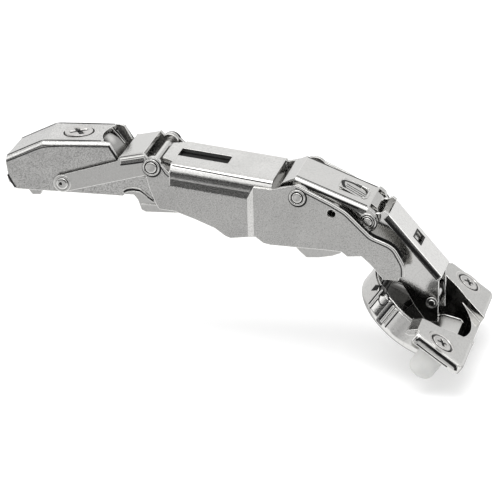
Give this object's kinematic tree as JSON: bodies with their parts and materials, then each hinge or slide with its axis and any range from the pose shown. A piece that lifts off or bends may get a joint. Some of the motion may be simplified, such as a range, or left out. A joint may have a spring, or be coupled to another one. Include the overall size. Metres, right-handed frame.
{
  "type": "concealed cup hinge",
  "caption": "Wide-angle concealed cabinet hinge, fully open: clip-on arm, folding multi-link levers and a tilted round cup with screw wings and dowels.",
  "frame": {"origin": "on the arm's flat seat, under the axis of the adjusting screw", "axes": "+Z away from the cabinet side, +X along the arm towards the cup, Y along the pivot pins"},
  "size_m": [0.1424, 0.055, 0.0632],
  "materials": {
    "nickel_satin": "satin nickel plate",
    "nickel_polished": "bright nickel plate",
    "pin_steel": "plated rivet",
    "screw_steel": "bright nickel plate",
    "dowel_plastic": "milky nylon"
  },
  "bodies": {
    "arm": {"hinge_arm": "nickel_satin", "arm_core": "nickel_satin", "latch_pin": "pin_steel", "rear_pin": "pin_steel", "arm_pivot_pin": "pin_steel"},
    "adjusting_screw": {"adjusting_screw": "screw_steel"},
    "release_latch": {"release_latch": "nickel_satin"},
    "rear_link": {"rear_link": "nickel_satin"},
    "inner_lever": {"inner_lever": "nickel_polished", "front_pin": "pin_steel", "crossing_pin": "pin_steel"},
    "main_lever": {"main_lever": "nickel_satin", "knuckle_pin": "pin_steel"},
    "front_link": {"front_link": "nickel_polished"},
    "cup": {"hinge_cup": "nickel_satin", "cup_lever_pin": "pin_steel", "cup_link_pin": "pin_steel", "link_bracket": "nickel_polished", "closing_leaf": "nickel_satin", "cup_screw_near": "screw_steel", "cup_screw_far": "screw_steel", "dowel_near": "dowel_plastic", "dowel_far": "dowel_plastic"}
  },
  "joints": [
    {"name": "inner_lever_swing", "type": "hinge", "parent": "arm", "child": "inner_lever", "pos_m": [0.0416, 0, -0.0029], "axis": [0, -1, 0], "range_deg": [0, 78.18]},
    {"name": "rear_link_swing", "type": "hinge", "parent": "arm", "child": "rear_link", "pos_m": [-0.0023, 0, 0.00325], "axis": [0, -1, 0], "range_deg": [0, 78.18]},
    {"name": "main_lever_pivot", "type": "hinge", "parent": "inner_lever", "child": "main_lever", "pos_m": [0.0696, 0, 0.0047], "axis": [0, -1, 0], "range_deg": [-78.18, 0]},
    {"name": "front_link_pivot", "type": "hinge", "parent": "inner_lever", "child": "front_link", "pos_m": [0.0897, 0, -0.0027], "axis": [0, -1, 0], "range_deg": [-95.84, 0]},
    {"name": "cup_pivot", "type": "hinge", "parent": "front_link", "child": "cup", "pos_m": [0.1082, 0, -0.028], "axis": [0, -1, 0], "range_deg": [0, 143.75]},
    {"name": "adjusting_screw_turn", "type": "hinge", "parent": "arm", "child": "adjusting_screw", "pos_m": [0.0004, 0, 0], "axis": [0, 0, 1], "continuous": true},
    {"name": "release_latch_press", "type": "hinge", "parent": "arm", "child": "release_latch", "pos_m": [-0.0142, 0, 0.0066], "axis": [0, 1, 0], "range_deg": [0, 12]}
  ],
  "couplings": [
    {"joint": "rear_link_swing", "follows": "inner_lever_swing", "ratio": 1},
    {"joint": "main_lever_pivot", "follows": "inner_lever_swing", "ratio": -1},
    {"joint": "front_link_pivot", "follows": "inner_lever_swing", "ratio": -1.2258},
    {"joint": "cup_pivot", "follows": "inner_lever_swing", "ratio": 1.8387}
  ]
}
